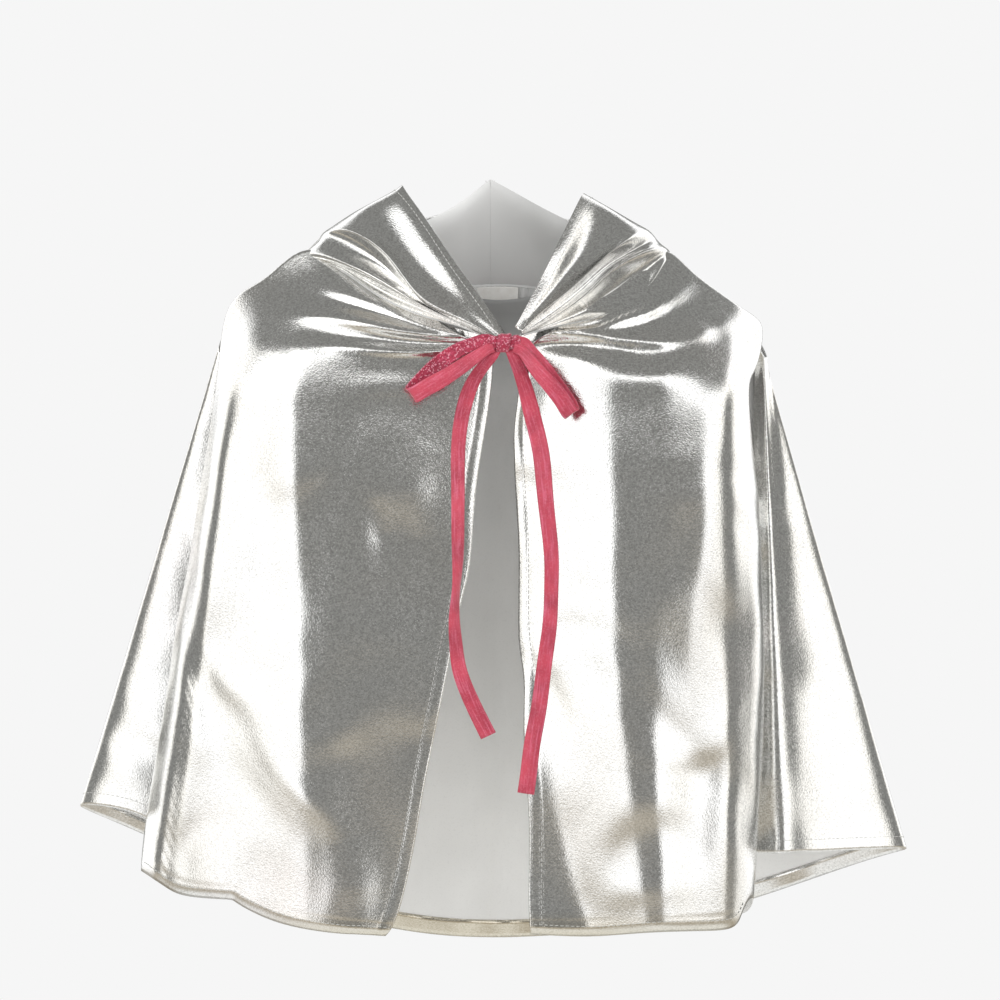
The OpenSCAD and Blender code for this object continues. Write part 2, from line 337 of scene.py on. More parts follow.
def inset_band(name, grid, way, depth):
    """A turned hem: part of a cloth's own grid, moved to its wrong side, with the foil facing inwards."""
    n = facing(grid, way)
    return cloth(name, grid - n * depth, -n, FOIL, FOIL)


# ---------- finishes ----------


# A mix node's colour sockets share their names with its other sockets, so they are taken by place.
MIX_SHARE = 0
MIX_FIRST = 6
MIX_SECOND = 7
MIX_COLOUR = 2


class Shade:
    """A node's output, which can be added to another."""

    def __init__(self, nodes, value):
        self.nodes = nodes
        self.value = value

    def __add__(self, other):
        return self.nodes.node("ShaderNodeMath", {"operation": "ADD"}, {0: self, 1: other})


class Nodes:
    """A shader tree, with short ways to add to it."""

    def __init__(self, tree):
        self.tree = tree
        tree.nodes.clear()

    def link(self, value, socket):
        """Joins an output to the socket, or sets the socket to a plain value."""
        if isinstance(value, Shade):
            self.tree.links.new(value.value, socket)
        else:
            socket.default_value = value

    def node(self, kind, settings=None, inputs=None, output=0):
        n = self.tree.nodes.new(kind)
        for key, value in (settings or {}).items():
            setattr(n, key, value)
        for key, value in (inputs or {}).items():
            self.link(value, n.inputs[key])
        return Shade(self, n.outputs[output])

    def object_place(self):
        return self.node("ShaderNodeTexCoord", output="Object")

    def surface_place(self, size=(1, 1, 1)):
        place = self.node("ShaderNodeUVMap", {"uv_map": "cloth"})
        return self.node("ShaderNodeMapping", {}, {"Vector": place, "Scale": size})

    def part_of(self, place, axis):
        """One coordinate of a place: 0, 1 or 2."""
        return self.node("ShaderNodeSeparateXYZ", {}, {"Vector": place}, axis)

    def noise(self, place, scale, detail=2.0, rough=0.5, warp=0.0):
        inputs = {"Vector": place, "Scale": scale, "Detail": detail, "Roughness": rough, "Distortion": warp}
        return self.node("ShaderNodeTexNoise", {}, inputs)

    def bands(self, place, direction, scale, warp, detail=2.0):
        settings = {"wave_type": "BANDS", "bands_direction": direction}
        inputs = {"Vector": place, "Scale": scale, "Distortion": warp, "Detail": detail}
        return self.node("ShaderNodeTexWave", settings, inputs)

    def specks(self, place, scale):
        """A different number in each cell of a fine mesh."""
        cells = self.node("ShaderNodeTexVoronoi", {"feature": "F1"}, {"Vector": place, "Scale": scale},
                          "Color")
        return self.node("ShaderNodeSeparateColor", {}, {"Color": cells}, "Red")

    def between(self, value, low, high, to_low=0.0, to_high=1.0):
        inputs = {"Value": value, "From Min": low, "From Max": high, "To Min": to_low, "To Max": to_high}
        return self.node("ShaderNodeMapRange", {"clamp": True}, inputs)

    def blend(self, share, first, second):
        inputs = {MIX_SHARE: share, MIX_FIRST: first, MIX_SECOND: second}
        return self.node("ShaderNodeMix", {"data_type": "RGBA"}, inputs, MIX_COLOUR)

    def bump(self, height, distance, strength=1.0, under=None):
        inputs = {"Height": height, "Distance": distance, "Strength": strength}
        if under is not None:
            inputs["Normal"] = under
        return self.node("ShaderNodeBump", {}, inputs)


class Finish(Nodes):
    """A material and its nodes."""

    def __init__(self, name):
        self.material = bpy.data.materials.new(name)
        self.material.use_nodes = True
        super().__init__(self.material.node_tree)

    def made(self, **sockets):
        shader = self.tree.nodes.new("ShaderNodeBsdfPrincipled")
        for key, value in sockets.items():
            self.link(value, shader.inputs[key.replace("_", " ")])
        out = self.tree.nodes.new("ShaderNodeOutputMaterial")
        self.tree.links.new(shader.outputs[0], out.inputs["Surface"])
        return self.material


def foil_finish():
    """Silver foil: a slightly crinkled mirror with a fine speckle, and a painted olive reflection along the
    bottom hem.
    """
    cool, warm, pinkish = (0.88, 0.88, 0.87, 1), (0.88, 0.86, 0.83, 1), (0.90, 0.82, 0.81, 1)
    grain_light, grain_dark = (0.93, 0.93, 0.92, 1), (0.62, 0.62, 0.60, 1)
    speck_light, speck_dark = (1.0, 1.0, 0.99, 1), (0.60, 0.60, 0.585, 1)
    painted_olive_reflection = (0.62, 0.54, 0.36, 1)
    f = Finish("silver_foil_cloth")
    place = f.object_place()
    soft = f.noise(place, 9.0, 2.0, 0.5)
    tint = f.noise(place, 5.5, 1.0, 0.5, 0.6)
    grain = f.noise(place, 1100.0, 1.0, 0.6)
    fine = f.noise(place, 2300.0, 1.0, 0.5)
    crinkle = f.noise(place, 13.0, 0.0, 0.5, 1.2)
    speck = f.specks(place, 1250.0)
    height = f.part_of(place, 2)
    silver = f.blend(f.between(tint, 0.45, 0.7), cool, warm)
    silver = f.blend(f.between(soft, 0.56, 0.74, 0.0, 0.4), silver, pinkish)
    silver = f.blend(f.between(grain, 0.54, 0.70, 0.0, 0.60), silver, grain_light)
    silver = f.blend(f.between(grain, 0.46, 0.30, 0.0, 0.45), silver, grain_dark)
    silver = f.blend(f.between(speck, 0.60, 0.95, 0.0, 0.70), silver, speck_light)
    silver = f.blend(f.between(speck, 0.40, 0.05, 0.0, 0.50), silver, speck_dark)
    # Painted reflection: an olive tone blended in by height along the bottom hem, below about -0.370 m.
    silver = f.blend(f.between(height, -0.370, -0.384, 0.0, 0.55), silver, painted_olive_reflection)
    rough = f.between(speck, 0.2, 0.9, 0.10, 0.20) + f.between(soft, 0.35, 0.65, -0.01, 0.02)
    low = f.bump(crinkle, 0.0050, 0.9)
    mid = f.bump(grain, 0.00010, 1.0, low)
    top = f.bump(fine, 0.00002, 1.0, mid)
    return f.made(Base_Color=silver, Metallic=1.0, Roughness=rough, Normal=top)


def reverse_finish():
    """The cloth's wrong side: a pale knit, with painted shade darkening it towards the neck."""
    pale_low, pale_high = (0.80, 0.80, 0.79, 1), (0.87, 0.87, 0.86, 1)
    fuzz_dark, painted_neck_shade = (0.62, 0.62, 0.61, 1), (0.22, 0.22, 0.215, 1)
    f = Finish("cloth_reverse")
    place = f.object_place()
    soft = f.noise(place, 14.0, 2.0, 0.5)
    fuzz = f.noise(place, 900.0, 2.0, 0.6)
    knit = f.bands(f.surface_place(), "X", 420.0, 2.0, 1.0)
    height = f.part_of(place, 2)
    pale = f.blend(f.between(soft, 0.35, 0.65), pale_low, pale_high)
    pale = f.blend(f.between(fuzz, 0.55, 0.8, 0.0, 0.3), pale, fuzz_dark)
    # Painted shade: the wrong side darkens towards the neck, where the inside of the cape lies in shadow.
    pale = f.blend(f.between(height, -0.060, -0.012, 0.0, 0.85), pale, painted_neck_shade)
    rough = f.between(fuzz, 0.3, 0.7, 0.72, 0.58)
    under = f.bump(knit, 0.00006, 0.7)
    top = f.bump(fuzz, 0.00006, 1.0, under)
    return f.made(Base_Color=pale, Roughness=rough, Normal=top, Sheen_Weight=0.15)


def lining_finish():
    """The wrong side inside the standing hood, with painted shade darkening it towards the wearer's left."""
    light, dark, cloudy = (0.76, 0.76, 0.75, 1), (0.50, 0.50, 0.49, 1), (0.66, 0.66, 0.65, 1)
    f = Finish("hood_lining")
    place = f.object_place()
    across = f.part_of(place, 0)
    cloud = f.noise(place, 24.0, 2.0, 0.5)
    weave = f.noise(place, 1300.0, 1.0, 0.5)
    # Painted shade: darker towards the wearer's left, at positive x.
    shade = f.blend(f.between(across, -0.020, 0.022), light, dark)
    shade = f.blend(f.between(cloud, 0.40, 0.62, 0.0, 0.35), shade, cloudy)
    return f.made(Base_Color=shade, Roughness=0.62, Normal=f.bump(weave, 0.00006, 0.6))


def satin_finish(name, base, light, deep, fleck):
    """Satin ribbon with slubs along it. fleck is how strongly it glitters, from 0 to 1."""
    fleck_light, fleck_dark = (0.88, 0.42, 0.52, 1), (0.22, 0.005, 0.03, 1)
    f = Finish(name)
    place = f.object_place()
    threads = f.bands(f.surface_place(), "X", 900.0, 1.2)
    slub = f.noise(f.surface_place((900, 60, 1)), 1.0, 2.0, 0.5)
    tone = f.noise(place, 60.0, 2.0, 0.5)
    glint = f.specks(place, 1500.0)
    colour = f.blend(f.between(tone, 0.35, 0.65), deep, base)
    colour = f.blend(f.between(slub, 0.50, 0.75, 0.0, 0.7), colour, light)
    colour = f.blend(f.between(glint, 0.80, 0.86, 0.0, fleck), colour, fleck_light)
    colour = f.blend(f.between(glint, 0.22, 0.16, 0.0, fleck), colour, fleck_dark)
    rough = f.between(threads, 0.2, 0.8, 0.42, 0.30)
    under = f.bump(threads, 0.00003, 0.8)
    top = f.bump(slub, 0.00008, 0.8, under)
    return f.made(Base_Color=colour, Roughness=rough, Normal=top, Sheen_Weight=0.35, Anisotropic=0.5)


def label_finish():
    """A pale woven tape."""
    pale_low, pale_high, gap = (0.80, 0.78, 0.74, 1), (0.88, 0.87, 0.84, 1), (0.62, 0.60, 0.56, 1)
    f = Finish("label_tape")
    along = f.surface_place()
    weave = f.bands(along, "DIAGONAL", 700.0, 0.5)
    soft = f.noise(along, 220.0, 2.0, 0.5)
    pale = f.blend(f.between(soft, 0.3, 0.7), pale_low, pale_high)
    pale = f.blend(f.between(weave, 0.0, 0.4, 0.25, 0.0), pale, gap)
    return f.made(Base_Color=pale, Roughness=0.6, Normal=f.bump(weave, 0.00005, 0.8), Sheen_Weight=0.2)


def thread_finish():
    """Twisted grey thread."""
    dark, light = (0.42, 0.42, 0.40, 1), (0.72, 0.72, 0.70, 1)
    f = Finish("sewing_thread")
    ply = f.bands(f.object_place(), "DIAGONAL", 1500.0, 1.0)
    pale = f.blend(f.between(ply, 0.2, 0.8), dark, light)
    return f.made(Base_Color=pale, Roughness=0.45, Normal=f.bump(ply, 0.00003, 0.8), Sheen_Weight=0.2)


def floor_finish():
    """A plain pale floor."""
    low, high = (0.80, 0.79, 0.76, 1), (0.83, 0.82, 0.79, 1)
    f = Finish("pale_floor")
    soft = f.noise(f.object_place(), 3.0, 2.0, 0.5)
    return f.made(Base_Color=f.blend(f.between(soft, 0.3, 0.7), low, high), Roughness=0.8)


FOIL = foil_finish()
REVERSE = reverse_finish()
LINING = lining_finish()
SATIN = satin_finish(
    "satin_ribbon",
    base=(0.60, 0.055, 0.10, 1),
    light=(0.74, 0.17, 0.28, 1),
    deep=(0.42, 0.03, 0.065, 1),
    fleck=0.10,
)
GLITTER = satin_finish(
    "satin_glitter",
    base=(0.50, 0.02, 0.07, 1),
    light=(0.70, 0.10, 0.20, 1),
    deep=(0.30, 0.01, 0.04, 1),
    fleck=0.65,
)
LABEL = label_finish()
THREAD = thread_finish()


# ---------- studio ----------


def camera():
    lens = bpy.data.cameras.new("camera")
    lens.lens = 156
    lens.sensor_width = 36
    eye = placed("camera", lens)
    eye.location = EYE.tolist()
    eye.rotation_euler = (math.pi / 2, 0, 0)
    bpy.context.scene.camera = eye
    bpy.context.scene.view_settings.view_transform = "Standard"


def studio_room():
    """The room that the foil mirrors.

    Grey walls and a grey ceiling stand between bright softboxes, so flat foil reads grey and turned foil
    white.
    """
    softbox, warm_softbox, wall_grey = (1.34, 1.34, 1.34, 1), (1.28, 1.25, 1.18, 1), (0.25, 0.25, 0.24, 1)
    low_wall, ground_pale = (0.50, 0.455, 0.38, 1), (0.92, 0.92, 0.90, 1)
    fill, backdrop = (1.10, 1.10, 1.10, 1), (0.922, 0.922, 0.922, 1)
    ceiling_reach = 1.38
    world = bpy.data.worlds.new("studio")
    world.use_nodes = True
    room = Nodes(world.node_tree)
    way = room.node("ShaderNodeTexCoord", output="Generated")
    across, ahead, up = (room.part_of(way, axis) for axis in (0, 1, 2))
    front = room.node("ShaderNodeMath", {"operation": "ABSOLUTE"}, {0: ahead})
    side = room.node("ShaderNodeMath", {"operation": "ABSOLUTE"}, {0: across})
    above = room.node("ShaderNodeMath", {"operation": "MULTIPLY"}, {0: up, 1: ceiling_reach})
    wall = room.node("ShaderNodeMath", {"operation": "MAXIMUM"}, {0: front, 1: side})
    wall = room.node("ShaderNodeMath", {"operation": "MAXIMUM"}, {0: wall, 1: above})
    tone = room.blend(room.between(side, 0.70, 0.90), softbox, warm_softbox)
    tone = room.blend(room.between(wall, 0.88, 0.925), tone, wall_grey)
    tone = room.blend(room.between(up, -0.10, -0.35), tone, low_wall)
    tone = room.blend(room.between(up, -0.50, -0.80), tone, ground_pale)
    tone = room.blend(room.node("ShaderNodeLightPath", output="Is Diffuse Ray"), tone, fill)
    tone = room.blend(room.node("ShaderNodeLightPath", output="Is Camera Ray"), tone, backdrop)
    glow = room.tree.nodes.new("ShaderNodeBackground")
    room.link(tone, glow.inputs["Color"])
    out = room.tree.nodes.new("ShaderNodeOutputWorld")
    room.tree.links.new(glow.outputs[0], out.inputs["Surface"])
    bpy.context.scene.world = world


def soft_light():
    """One wide lamp from above the front, aimed at the middle of the cape."""
    lamp = bpy.data.lights.new("soft_box", "AREA")
    lamp.shape = "RECTANGLE"
    lamp.size = 1.6
    lamp.size_y = 1.2
    lamp.energy = 9
    box = placed("soft_box", lamp)
    box.location = (-1.3, -1.3, 1.5)
    aim = np.array([0.0, 0.0, -0.15]) - np.array(box.location)
    tilt = math.pi - math.acos(aim[2] / np.linalg.norm(aim))
    heading = math.atan2(aim[1], aim[0]) + math.pi * 1.5
    box.rotation_euler = (tilt, 0, heading)


def studio_floor():
    """A round floor that the foil does not mirror."""
    radius, height, corners = 1.3, -0.70, 96
    angles = np.linspace(0, 2 * math.pi, corners, endpoint=False)
    ring = np.stack([radius * np.cos(angles), radius * np.sin(angles), np.full(corners, height)], 1)
    floor = new_piece("floor", ring, [list(range(corners))], [floor_finish()])
    floor.visible_glossy = False


camera()
studio_room()
soft_light()
studio_floor()


# ---------- the bow's ribbon ----------

RIBBON_HALF = 0.005
RIBBON_THICK = 0.0004
RIBBON_COLUMNS = 11
# A ribbon's turns are averaged over this many of its rings.
TURN_WINDOW = 9
LOOP_LEFT = [
    (-2, -65.5, -35.5), (-6, -66, -37), (-12, -69, -41), (-22, -73, -48), (-33, -75, -55),
    (-42, -75, -60), (-47, -74, -63), (-50, -72, -64), (-50, -70, -62), (-46, -69, -57), (-36, -69, -47),
    (-24, -68, -38), (-13, -66, -33), (-7, -65, -31), (-1, -64, -32),
]
LOOP_RIGHT = [
    (10, -65.5, -35.5), (15, -66, -38), (19, -69, -43), (25, -73, -51), (33, -75, -60), (39, -75, -68),
    (42, -74, -73), (44, -72, -75), (44, -70, -73), (41, -69, -67), (34, -69, -57), (27, -68, -47),
    (20, -66, -38), (16, -65, -33), (10, -64, -32),
]
TAIL_LEFT = [
    (0, -61.5, -36), (-3, -64, -41), (-9, -63, -48), (-16, -63, -60), (-21, -64, -78), (-23, -67, -98),
    (-23, -72, -120), (-23, -77, -140), (-23, -80, -162), (-24, -81, -180), (-25, -81, -196),
    (-24, -80, -212), (-22, -79, -226), (-17, -78, -240), (-11, -77, -253), (-5, -76, -265),
]
TAIL_RIGHT = [
    (8, -61.5, -36), (10, -64, -41), (14, -63, -51), (18, -63, -64), (22, -64, -80), (26, -68, -98),
    (28, -74, -118), (30, -78, -138), (32, -80, -158), (32, -81, -178), (31, -81, -200), (28, -81, -222),
    (25, -80, -246), (21, -79, -268), (19, -78, -284), (17, -77, -299),
]


def ribbon(name, route, across, turns, materials, rings, curl, widths):
    """A ribbon along route. turns twist it about its own line, in degrees; widths are shares of the full."""
    centre = curve_through(mm(route), rings)
    tangent = np.gradient(centre, axis=0)
    tangent /= np.linalg.norm(tangent, axis=1, keepdims=True)
    way = np.asarray(across, float) - tangent * (tangent @ np.asarray(across, float))[:, None]
    way /= np.linalg.norm(way, axis=1, keepdims=True)
    out = np.cross(tangent, way)
    share = np.linspace(0, 1, rings)
    angle = np.radians(spread(turns, share))
    padded = np.pad(angle, TURN_WINDOW // 2, mode="edge")
    angle = np.convolve(padded, np.ones(TURN_WINDOW) / TURN_WINDOW, mode="valid")
    half = way * np.cos(angle)[:, None] + out * np.sin(angle)[:, None]
    width = RIBBON_HALF * spread(widths, share)
    piece = strip(name, centre, half * width[:, None], materials, RIBBON_THICK, curl, RIBBON_COLUMNS)
    length = np.linalg.norm(np.diff(centre, axis=0), axis=1).sum()
    return piece, centre, float(length)


def bow_part(name, route, across, turns, materials, rings, curl, widths, body, node, far_end):
    """One loop or tail of the bow, made as a ribbon and handed to its body."""
    piece, centre, length = ribbon(name, route, across, turns, materials, rings, curl, widths)
    given(piece, body, node)
    return piece


LOOP = {
    "turns": [0, 0],
    "rings": 90,
    "curl": 0.0005,
    "widths": [0.6, 0.85, 1, 1, 1, 0.85, 0.6],
    "far_end": "object",
}
bow_part(
    "bow_left_loop",
    LOOP_LEFT,
    across=(0.56, 0, -0.83),
    materials=[SATIN, GLITTER],
    body="left_loop",
    node="bow_loop_left",
    **LOOP,
)
bow_part(
    "bow_right_loop",
    LOOP_RIGHT,
    across=(0.80, 0, 0.60),
    materials=[SATIN, SATIN],
    body="right_loop",
    node="bow_loop_right",
    **LOOP,
)

TAIL = {"across": (1, 0, 0), "materials": [SATIN, SATIN], "curl": 0.0006, "far_end": "bare"}
left_tail = bow_part(
    "bow_left_tail",
    TAIL_LEFT,
    turns=[0, 0, 0, -6, -16, -60, -20, 0, 10],
    rings=130,
    widths=[0.6, 0.9, 0.85, 0.8, 0.8, 0.8, 0.9, 1],
    body="left_tail",
    node="ribbon_tail_left",
    **TAIL,
)
right_tail = bow_part(
    "bow_right_tail",
    TAIL_RIGHT,
    turns=[0, 0, 0, 6, -8, -6, 12, 16, 0],
    rings=140,
    widths=[0.7, 1, 1, 0.9, 0.85, 0.9, 1, 1],
    body="right_tail",
    node="ribbon_tail_right",
    **TAIL,
)
# The foil would mirror the tails as one long red streak.
for tail in (left_tail, right_tail):
    tail.visible_glossy = False


# ---------- the fronts ----------

# The stitch line's distance from a cloth's edge, and how far a bottom hem rolls back.
HEM = 0.0075
HEM_ROLL = 0.0035


def run_from(grid, last):
    """Each point's distance along its column from the grid's last or first row."""
    steps = np.linalg.norm(np.diff(grid, axis=0), axis=2)
    run = np.concatenate([np.zeros((1, grid.shape[1])), np.cumsum(steps, 0)], 0)
    return run[-1:] - run if last else run


def hem_swell(distance):
    """How far a turned and stitched hem stands proud of the cloth at that distance from the edge."""
    pad = 0.0007 * np.exp(-(((distance - HEM_ROLL) / 0.0028) ** 2))
    pull_of_stitches = 0.0005 * np.exp(-(((distance - HEM) / 0.0009) ** 2))
    return pad - pull_of_stitches


FRONT_COLUMNS = 150
FRONT_ROWS = 190
TURN_COLUMNS = 16
TURN_PULL = 1.4
FORWARD = np.array([0.0, -1.0, 0.0])
BACKWARD = (0, 1, 0)


def front(name, top, hem, edge, side, depths, turn, folds, node):
    """A front: a patch in x and z, given its depth, with its side turned back and its folds raised.

    top, hem, edge and side are its outline in x and z, and edge is the one at the opening. depths are rows
    of (z, [(x, y), ...]). turn lists, down the side, how far the turned part reaches across and back.
    """
    flat = patch(mm(top), mm(hem), mm(edge), mm(side), FRONT_COLUMNS, FRONT_ROWS)
    x, z = flat[..., 0], flat[..., 1]
    grid = np.stack([x, depth_field(depths)(x, z), z], -1)
    last = grid[:, -1]
    leave = (grid[:, -1] - grid[:, -4]) / 3
    leave /= np.linalg.norm(leave, axis=1, keepdims=True)
    v = np.linspace(0, 1, FRONT_ROWS)
    across, back = (spread([step[k] * MM for step in turn], v) for k in (0, 1))
    level = np.zeros(FRONT_ROWS)
    goal = last + np.stack([across, back, level], 1)
    pull = np.linalg.norm(goal - last, axis=1, keepdims=True) * TURN_PULL
    arrive = np.stack([np.sign(across) * 0.5, np.full(FRONT_ROWS, 0.9), level], 1)
    t = np.linspace(0, 1, TURN_COLUMNS + 1)[1:][None, :, None]
    wrap = (2 * t**3 - 3 * t**2 + 1) * last[:, None] + (t**3 - 2 * t**2 + t) * (leave * pull)[:, None]
    wrap = wrap + (-2 * t**3 + 3 * t**2) * goal[:, None] + (t**3 - t**2) * (arrive * pull)[:, None]
    grid = np.concatenate([grid, wrap], 1)
    grid = creased(grid, folds, FORWARD)
    grid = carried(grid / MM)
    up = run_from(grid, last=True)
    inward = run_from(np.swapaxes(grid, 0, 1), last=False).T
    grid[..., 1] -= hem_swell(up) + hem_swell(inward) * 0.5
    grid[..., 1] += HEM_ROLL * np.exp(-((up / HEM_ROLL) ** 2))
    given(cloth(name, grid, FORWARD, FOIL, REVERSE), "cape", node)
    return grid


left_grid = front(
    "left_front",
    top=[(-3, -36), (-14, -31), (-30, -22), (-44, -12)],
    hem=[
        (-67, -388), (-85, -387), (-100, -386), (-131, -380), (-155, -369), (-163, -366), (-186, -364),
        (-200, -358), (-212, -350),
    ],
    edge=[
        (-3, -36), (-3, -53), (-7, -83), (-13, -124), (-16, -162), (-21, -186), (-28, -220), (-36, -260),
        (-44, -300), (-50, -335), (-59, -373), (-67, -388),
    ],
    side=[
        (-44, -12), (-80, 8), (-112, 23), (-136, 8), (-153, -3), (-162, -17), (-166, -40), (-171, -80),
        (-178, -122), (-184, -162), (-192, -205), (-198, -248), (-208, -311), (-212, -350),
    ],
    depths=[
        (26, [(-60, -20), (-80, -14), (-95, -8), (-105, -5), (-112, -3), (-114, -2), (-118, 0)]),
        (0, [(-50, -42), (-70, -38), (-90, -34), (-110, -26), (-130, -13), (-140, -6), (-148, -1)]),
        (-15, [(-20, -56), (-50, -51), (-80, -48), (-110, -41), (-138, -27), (-150, -15), (-160, -3)]),
        (-32, [(-4, -54), (-22, -57), (-80, -59), (-118, -56), (-146, -38), (-158, -24), (-164, -6)]),
        (-60, [(-4, -54), (-22, -58), (-70, -61), (-124, -61), (-161, -43), (-167, -32), (-170, -8)]),
        (-120, [(-13, -59), (-27, -62), (-90, -66), (-122, -66), (-170, -44), (-175, -34), (-177, -12)]),
        (-200, [(-24, -64), (-60, -67), (-100, -68), (-119, -66), (-180, -39), (-186, -31), (-190, -12)]),
        (-300, [(-44, -65), (-80, -67), (-100, -68), (-117, -66), (-193, -33), (-200, -26), (-206, -9)]),
        (-392, [(-67, -64), (-90, -65), (-102, -65), (-117, -63), (-198, -28), (-207, -21), (-214, -8)]),
    ],
    turn=[(3, 8), (3, 10), (3, 16), (4, 20), (5, 23), (6, 25)],
    folds=[
        ([(-169, -45), (-174, -116), (-182, -192), (-191, -260), (-199, -310), (-206, -355)], [1, 3, 4, 5],
         [5, 8, 10], 0.9),
        ([(-166, -37), (-172, -116), (-180, -192), (-187, -251), (-194, -303), (-201, -358)],
         [-1, -2, -3, -3], [4, 5, 6], 1.0),
        ([(-138, -12), (-92, -18), (-56, -25), (-7, -30)], [0, 3.5, 3, 1], [9, 6, 3], 0.5),
        ([(-150, -26), (-100, -28), (-50, -33), (-8, -32)], [0, -3, -3, -1], [9, 6, 3], 0.8),
        ([(-120, -30), (-80, -35), (-45, -37), (-10, -34)], [0, 2.5, 2.5, 1], [7, 5, 2.5], 0.5),
        ([(-128, -2), (-96, -8), (-50, -17), (-12, -28)], [0, -2.5, -2.5, -1], [7, 5, 3], 1.0),
        ([(-110, 2), (-78, -8), (-45, -20), (-12, -29)], [0, 2, 2.2, 1], [6, 4, 2.5], 0.6),
        ([(-75, -125), (-68, -150), (-70, -170)], [0, -1.6, 0], [9, 8], 1.0),
        ([(-40, -90), (-52, -120), (-48, -150)], [0, 1.5, 0], [12, 14], 1.0),
        ([(-90, -330), (-84, -355), (-86, -388)], [0, 2, 2.5], [16, 14], 1.0),
    ],
    node="front_panel_left",
)
right_grid = front(
    "right_front",
    top=[(13, -36), (24, -30), (36, -22), (48, -12)],
    hem=[(20, -387), (40, -388), (62, -388), (91, -386), (122, -385), (141, -383), (147, -375)],
    edge=[
        (13, -36), (13, -58), (11, -76), (10, -91), (11, -121), (13, -162), (13, -208), (16, -235),
        (16, -269), (19, -315), (19, -361), (20, -387),
    ],
    side=[
        (48, -12), (75, 3), (98, 22), (117, 10), (147, -12), (158, -26), (153, -49), (148, -68),
        (150, -136), (152, -210), (152, -270), (150, -322), (147, -375),
    ],
    depths=[
        (26, [(50, -22), (62, -18), (72, -14), (80, -10), (88, -6), (94, -3), (100, 0)]),
        (0, [(46, -42), (64, -38), (78, -35), (92, -30), (108, -20), (122, -9), (132, -1)]),
        (-15, [(24, -56), (50, -51), (76, -48), (96, -43), (118, -32), (136, -16), (150, -2)]),
        (-32, [(13, -52), (45, -57), (72, -60), (100, -62), (122, -52), (144, -30), (158, -6)]),
        (-60, [(13, -54), (40, -62), (68, -69), (100, -71), (128, -69), (142, -62), (153, -30)]),
        (-126, [(11, -50), (40, -63), (70, -76), (104, -78), (128, -77), (141, -70), (150, -50)]),
        (-210, [(13, -50), (40, -62), (70, -75), (92, -76), (118, -73), (141, -62), (151, -48)]),
        (-300, [(17, -57), (32, -59), (80, -76), (96, -77), (120, -65), (141, -62), (150, -46)]),
        (-392, [(20, -59), (58, -60), (90, -74), (102, -74), (122, -65), (141, -57), (147, -44)]),
    ],
    turn=[(-2, 8), (-2, 8), (-2, 9), (-2, 30), (-2, 56), (-2, 58), (-2, 59), (-2, 60), (-3, 60)],
    folds=[
        ([(118, 8), (107, 0), (91, -11), (77, -17), (59, -23), (34, -25), (18, -28)],
         [0, 3, 4, 4, 3, 2, 1], [7, 5, 3], 0.35),
        ([(148, -13), (122, -25), (94, -30), (63, -28), (33, -27), (16, -29)], [0, 3, 3.5, 3, 2, 1],
         [6, 5, 3], 0.8),
        ([(128, -2), (100, -18), (70, -23), (40, -26)], [0, -3, -3, -1], [7, 5, 3], 1.0),
        ([(20, -32), (57, -33), (88, -38), (112, -38)], [-1, -3.5, -3.5, 0], [4, 7, 8], 1.0),
        ([(26, -38), (62, -48), (95, -52), (130, -44)], [0, 2.5, 2.5, 0], [8, 12, 10], 1.0),
    ],
    node="front_panel_right",
)


# ---------- the back ----------


def back_way(grid):
    """Outwards from the middle of the cape, turned forwards on the folds at its sides."""
    out = grid - np.array([0, -0.03, 0])
    out[..., 2] = 0
    return out


def back():
    """The back: straight lines from the shoulders to the hem, flared, with waves behind."""
    cols, rows = 260, 150
    hem = [
        (-196, 6, -330), (-218, 9, -314), (-250, 28, -309), (-215, 68, -325), (-132, 98, -362),
        (-66, 107, -382), (0, 110, -388), (80, 106, -382), (150, 94, -366), (222, 64, -342),
        (245, 32, -335), (214, 15, -336), (192, 5, -337), (182, -1, -337), (171, -6, -338),
        (160, 0, -338), (146, 9, -338),
    ]
    top = [
        (-159, 4, -38), (-164, 5, -38), (-167, 7, -34), (-161, 10, -18), (-138, 7, 4), (-60, 15, 6),
        (0, 27, -6), (60, 15, 6), (116, 6, 8), (145, 9, -15), (157, 10, -30), (161, 9, -37),
        (162, 7, -40), (161, 4, -40), (160, 1, -39), (158, 2, -36), (155, 3, -32),
    ]
    knots = np.linspace(0, len(top) - 1, cols)
    a = spline(top, knots)
    b = spline(hem, knots)
    v = np.linspace(0, 1, rows)[:, None]
    grid = a[None] * (1 - v[..., None]) + b[None] * v[..., None]
    # The share of the cloth that hangs behind, where the hem is 28 to 68 mm back.
    behind = smooth((b[None, :, 1] - 28) / 40)
    flare = v**2.2
    flared = a[None, :, 1] * (1 - flare) + b[None, :, 1] * flare
    grid[..., 1] = grid[..., 1] * (1 - behind) + flared * behind
    # The waves fan out from the neck.
    x = grid[..., 0] / (0.35 + 0.65 * v)
    waves = np.sin(x * 0.105 + 0.6 + 0.6 * np.sin(x * 0.02)) * 5 + np.sin(x * 0.058 + 2.0) * 4.5
    grid[..., 1] += waves * smooth(v * 1.15) * behind
    grid = carried(grid)
    given(cloth("back_cloth", grid, back_way(grid), FOIL, REVERSE), "cape", "back_panel")
    return grid


back_grid = back()


# ---------- the hood ----------

